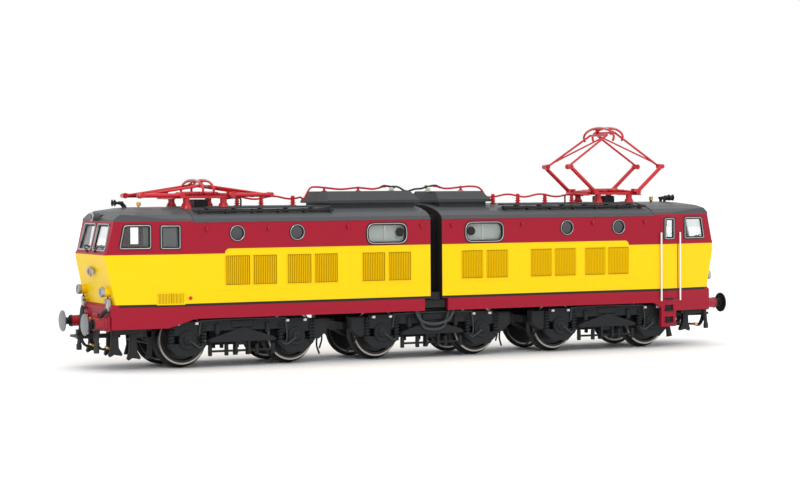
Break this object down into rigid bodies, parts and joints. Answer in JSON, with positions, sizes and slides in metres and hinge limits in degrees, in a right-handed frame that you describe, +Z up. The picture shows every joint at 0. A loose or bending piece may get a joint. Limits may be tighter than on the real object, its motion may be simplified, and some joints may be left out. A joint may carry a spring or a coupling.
{
  "type": "model electric locomotive",
  "caption": "Articulated model electric locomotive: body halves joined over a shared bogie, folding roof pantographs, sprung buffers, swinging couplers and a worm drive.",
  "frame": {"origin": "centre of the footprint at the bottom of the wheel flanges", "axes": "+X runs along the locomotive towards the end with the raised pantograph, +Z is up"},
  "size_m": [0.2102, 0.036, 0.0689],
  "materials": {
    "body_paint": "satin enamel over the shell, three colours in bands",
    "glazing": "clear, polished",
    "bright_trim": "satin silver frames and white rails",
    "cab_grey": "moulded, matt",
    "roof_grey": "satin dark grey",
    "pantograph_red": "gloss red",
    "wire_red": "gloss red wire on red insulators",
    "horn_black": "blackened brass",
    "motor_steel": "plated",
    "rotor_steel": "machined",
    "board_green": "lacquered board",
    "fittings": "satin red sleeves with black hoses",
    "bellows_black": "matt folded",
    "chassis_grey": "blackened casting",
    "bogie_black": "moulded charcoal black",
    "wheel_steel": "turned and part blackened",
    "buffer_grey": "satin grey heads on black shafts",
    "gear_brass": "cut",
    "gear_plastic": "moulded, greased"
  },
  "bodies": {
    "front_unit": {"chassis_front": "chassis_grey", "body_shell_front": "body_paint", "windows_front": "glazing", "metal_trim_front": "bright_trim", "cab_interior_front": "cab_grey", "roof_box_front": "roof_grey", "pantograph_base_front": "pantograph_red", "roof_wiring_front": "wire_red", "horns_front": "horn_black", "motor_housing": "motor_steel", "circuit_board": "board_green", "buffer_beam_fittings_front": "fittings", "bellows_front": "bellows_black"},
    "rear_unit": {"chassis_rear": "chassis_grey", "body_shell_rear": "body_paint", "windows_rear": "glazing", "metal_trim_rear": "bright_trim", "cab_interior_rear": "cab_grey", "roof_box_rear": "roof_grey", "pantograph_base_rear": "pantograph_red", "roof_wiring_rear": "wire_red", "horns_rear": "horn_black", "buffer_beam_fittings_rear": "fittings", "ballast_weight": "chassis_grey", "bellows_rear": "bellows_black"},
    "motor_rotor": {"motor_rotor": "rotor_steel", "cardan_shaft": "rotor_steel"},
    "bogie_front": {"bogie_frame_front": "bogie_black", "side_frames_front": "bogie_black"},
    "bogie_middle": {"bogie_frame_middle": "bogie_black", "side_frames_middle": "bogie_black", "pivot_pin_middle": "motor_steel"},
    "bogie_rear": {"bogie_frame_rear": "bogie_black", "side_frames_rear": "bogie_black"},
    "wheelset_1": {"wheelset_1": "wheel_steel"},
    "wheelset_2": {"wheelset_2": "wheel_steel"},
    "wheelset_3": {"wheelset_3": "wheel_steel"},
    "wheelset_4": {"wheelset_4": "wheel_steel"},
    "wheelset_5": {"wheelset_5": "wheel_steel"},
    "wheelset_6": {"wheelset_6": "wheel_steel"},
    "worm": {"worm": "gear_brass"},
    "worm_wheel": {"worm_wheel": "gear_brass"},
    "idler_gear_front": {"idler_gear_front": "gear_plastic"},
    "idler_gear_rear": {"idler_gear_rear": "gear_plastic"},
    "buffer_front_left": {"buffer_front_left": "buffer_grey"},
    "buffer_front_right": {"buffer_front_right": "buffer_grey"},
    "buffer_rear_left": {"buffer_rear_left": "buffer_grey"},
    "buffer_rear_right": {"buffer_rear_right": "buffer_grey"},
    "coupler_front": {"coupler_front": "bogie_black"},
    "coupler_rear": {"coupler_rear": "bogie_black"},
    "pantograph_front_lower_arm_a": {"pantograph_front_lower_arm_a": "pantograph_red"},
    "pantograph_front_lower_arm_b": {"pantograph_front_lower_arm_b": "pantograph_red"},
    "pantograph_front_upper_arm_a": {"pantograph_front_upper_arm_a": "pantograph_red"},
    "pantograph_front_upper_arm_b": {"pantograph_front_upper_arm_b": "pantograph_red"},
    "pantograph_front_head": {"pantograph_front_head": "pantograph_red"},
    "pantograph_rear_lower_arm_a": {"pantograph_rear_lower_arm_a": "pantograph_red"},
    "pantograph_rear_lower_arm_b": {"pantograph_rear_lower_arm_b": "pantograph_red"},
    "pantograph_rear_upper_arm_a": {"pantograph_rear_upper_arm_a": "pantograph_red"},
    "pantograph_rear_upper_arm_b": {"pantograph_rear_upper_arm_b": "pantograph_red"},
    "pantograph_rear_head": {"pantograph_rear_head": "pantograph_red"}
  },
  "joints": [
    {"name": "articulation", "type": "hinge", "parent": "front_unit", "child": "rear_unit", "pos_m": [0, 0, 0.017], "axis": [0, 0, 1], "range_deg": [-5, 5]},
    {"name": "bogie_front_swivel", "type": "hinge", "parent": "front_unit", "child": "bogie_front", "pos_m": [-0.0598, 0, 0.028], "axis": [0, 0, 1], "range_deg": [-4, 4]},
    {"name": "bogie_middle_swivel", "type": "hinge", "parent": "front_unit", "child": "bogie_middle", "pos_m": [0, 0, 0.017], "axis": [0, 0, 1], "range_deg": [-4, 4]},
    {"name": "bogie_rear_swivel", "type": "hinge", "parent": "rear_unit", "child": "bogie_rear", "pos_m": [0.0598, 0, 0.017], "axis": [0, 0, 1], "range_deg": [-4, 4]},
    {"name": "motor_spin", "type": "hinge", "parent": "front_unit", "child": "motor_rotor", "pos_m": [-0.036, 0, 0.0238], "axis": [1, 0, 0], "continuous": true},
    {"name": "worm_spin", "type": "hinge", "parent": "bogie_front", "child": "worm", "pos_m": [-0.0598, 0, 0.0238], "axis": [1, 0, 0], "continuous": true},
    {"name": "worm_wheel_spin", "type": "hinge", "parent": "bogie_front", "child": "worm_wheel", "pos_m": [-0.0598, 0, 0.0169], "axis": [0, 1, 0], "continuous": true},
    {"name": "idler_front_spin", "type": "hinge", "parent": "bogie_front", "child": "idler_gear_front", "pos_m": [-0.06756, 0, 0.01124], "axis": [0, 1, 0], "continuous": true},
    {"name": "idler_rear_spin", "type": "hinge", "parent": "bogie_front", "child": "idler_gear_rear", "pos_m": [-0.05205, 0, 0.01124], "axis": [0, 1, 0], "continuous": true},
    {"name": "axle_1_roll", "type": "hinge", "parent": "bogie_front", "child": "wheelset_1", "pos_m": [-0.0762, 0, 0.0081], "axis": [0, 1, 0], "continuous": true},
    {"name": "axle_2_roll", "type": "hinge", "parent": "bogie_front", "child": "wheelset_2", "pos_m": [-0.0434, 0, 0.0081], "axis": [0, 1, 0], "continuous": true},
    {"name": "axle_3_roll", "type": "hinge", "parent": "bogie_middle", "child": "wheelset_3", "pos_m": [-0.0164, 0, 0.0081], "axis": [0, 1, 0], "continuous": true},
    {"name": "axle_4_roll", "type": "hinge", "parent": "bogie_middle", "child": "wheelset_4", "pos_m": [0.0164, 0, 0.0081], "axis": [0, 1, 0], "continuous": true},
    {"name": "axle_5_roll", "type": "hinge", "parent": "bogie_rear", "child": "wheelset_5", "pos_m": [0.0434, 0, 0.0081], "axis": [0, 1, 0], "continuous": true},
    {"name": "axle_6_roll", "type": "hinge", "parent": "bogie_rear", "child": "wheelset_6", "pos_m": [0.0762, 0, 0.0081], "axis": [0, 1, 0], "continuous": true},
    {"name": "buffer_front_left_press", "type": "slide", "parent": "front_unit", "child": "buffer_front_left", "axis": [1, 0, 0], "range_m": [0, 0.0016], "stiffness_N_per_m": 400, "springref_m": -0.0004},
    {"name": "buffer_front_right_press", "type": "slide", "parent": "front_unit", "child": "buffer_front_right", "axis": [1, 0, 0], "range_m": [0, 0.0016], "stiffness_N_per_m": 400, "springref_m": -0.0004},
    {"name": "coupler_front_swing", "type": "hinge", "parent": "front_unit", "child": "coupler_front", "pos_m": [-0.0924, 0, 0.0092], "axis": [0, 0, 1], "range_deg": [-12, 12]},
    {"name": "buffer_rear_left_press", "type": "slide", "parent": "rear_unit", "child": "buffer_rear_left", "axis": [-1, 0, 0], "range_m": [0, 0.0016], "stiffness_N_per_m": 400, "springref_m": -0.0004},
    {"name": "buffer_rear_right_press", "type": "slide", "parent": "rear_unit", "child": "buffer_rear_right", "axis": [-1, 0, 0], "range_m": [0, 0.0016], "stiffness_N_per_m": 400, "springref_m": -0.0004},
    {"name": "coupler_rear_swing", "type": "hinge", "parent": "rear_unit", "child": "coupler_rear", "pos_m": [0.0924, 0, 0.0092], "axis": [0, 0, 1], "range_deg": [-12, 12]},
    {"name": "pantograph_front_raise", "type": "hinge", "parent": "front_unit", "child": "pantograph_front_lower_arm_a", "pos_m": [-0.0751, 0, 0.0482], "axis": [0, 1, 0], "range_deg": [0, 41.4]},
    {"name": "pantograph_front_lower_b", "type": "hinge", "parent": "front_unit", "child": "pantograph_front_lower_arm_b", "pos_m": [-0.0599, 0, 0.0482], "axis": [0, -1, 0], "range_deg": [0, 41.4]},
    {"name": "pantograph_front_knee_a", "type": "hinge", "parent": "pantograph_front_lower_arm_a", "child": "pantograph_front_upper_arm_a", "pos_m": [-0.0869, 0, 0.0482], "axis": [0, 1, 0], "range_deg": [-67, 0.5]},
    {"name": "pantograph_front_knee_b", "type": "hinge", "parent": "pantograph_front_lower_arm_b", "child": "pantograph_front_upper_arm_b", "pos_m": [-0.0481, 0, 0.0482], "axis": [0, -1, 0], "range_deg": [-67, 0.5]},
    {"name": "pantograph_front_head_level", "type": "hinge", "parent": "pantograph_front_upper_arm_a", "child": "pantograph_front_head", "pos_m": [-0.068, 0, 0.05096], "axis": [0, 1, 0], "range_deg": [-0.5, 25.6]},
    {"name": "pantograph_rear_raise", "type": "hinge", "parent": "rear_unit", "child": "pantograph_rear_lower_arm_a", "pos_m": [0.0751, 0, 0.0482], "axis": [0, -1, 0], "range_deg": [-41.4, 0]},
    {"name": "pantograph_rear_lower_b", "type": "hinge", "parent": "rear_unit", "child": "pantograph_rear_lower_arm_b", "pos_m": [0.0599, 0, 0.0482], "axis": [0, 1, 0], "range_deg": [-41.4, 0]},
    {"name": "pantograph_rear_knee_a", "type": "hinge", "parent": "pantograph_rear_lower_arm_a", "child": "pantograph_rear_upper_arm_a", "pos_m": [0.08395, 0, 0.056], "axis": [0, -1, 0], "range_deg": [-0.5, 67]},
    {"name": "pantograph_rear_knee_b", "type": "hinge", "parent": "pantograph_rear_lower_arm_b", "child": "pantograph_rear_upper_arm_b", "pos_m": [0.05105, 0, 0.056], "axis": [0, 1, 0], "range_deg": [-0.5, 67]},
    {"name": "pantograph_rear_head_level", "type": "hinge", "parent": "pantograph_rear_upper_arm_a", "child": "pantograph_rear_head", "pos_m": [0.068, 0, 0.06651], "axis": [0, -1, 0], "range_deg": [-25.6, 0.5]}
  ],
  "couplings": [
    {"joint": "worm_spin", "follows": "motor_spin", "ratio": 1},
    {"joint": "worm_wheel_spin", "follows": "motor_spin", "ratio": -0.045455},
    {"joint": "idler_front_spin", "follows": "motor_spin", "ratio": 0.038462},
    {"joint": "idler_rear_spin", "follows": "motor_spin", "ratio": 0.038462},
    {"joint": "axle_1_roll", "follows": "motor_spin", "ratio": -0.05},
    {"joint": "axle_2_roll", "follows": "motor_spin", "ratio": -0.05},
    {"joint": "pantograph_front_lower_b", "follows": "pantograph_front_raise", "ratio": 1},
    {"joint": "pantograph_front_knee_a", "follows": "pantograph_front_raise", "ratio": -1.6063},
    {"joint": "pantograph_front_knee_b", "follows": "pantograph_front_raise", "ratio": -1.6063},
    {"joint": "pantograph_front_head_level", "follows": "pantograph_front_raise", "ratio": 0.60628},
    {"joint": "pantograph_rear_lower_b", "follows": "pantograph_rear_raise", "ratio": 1},
    {"joint": "pantograph_rear_knee_a", "follows": "pantograph_rear_raise", "ratio": -1.6063},
    {"joint": "pantograph_rear_knee_b", "follows": "pantograph_rear_raise", "ratio": -1.6063},
    {"joint": "pantograph_rear_head_level", "follows": "pantograph_rear_raise", "ratio": 0.60628}
  ]
}
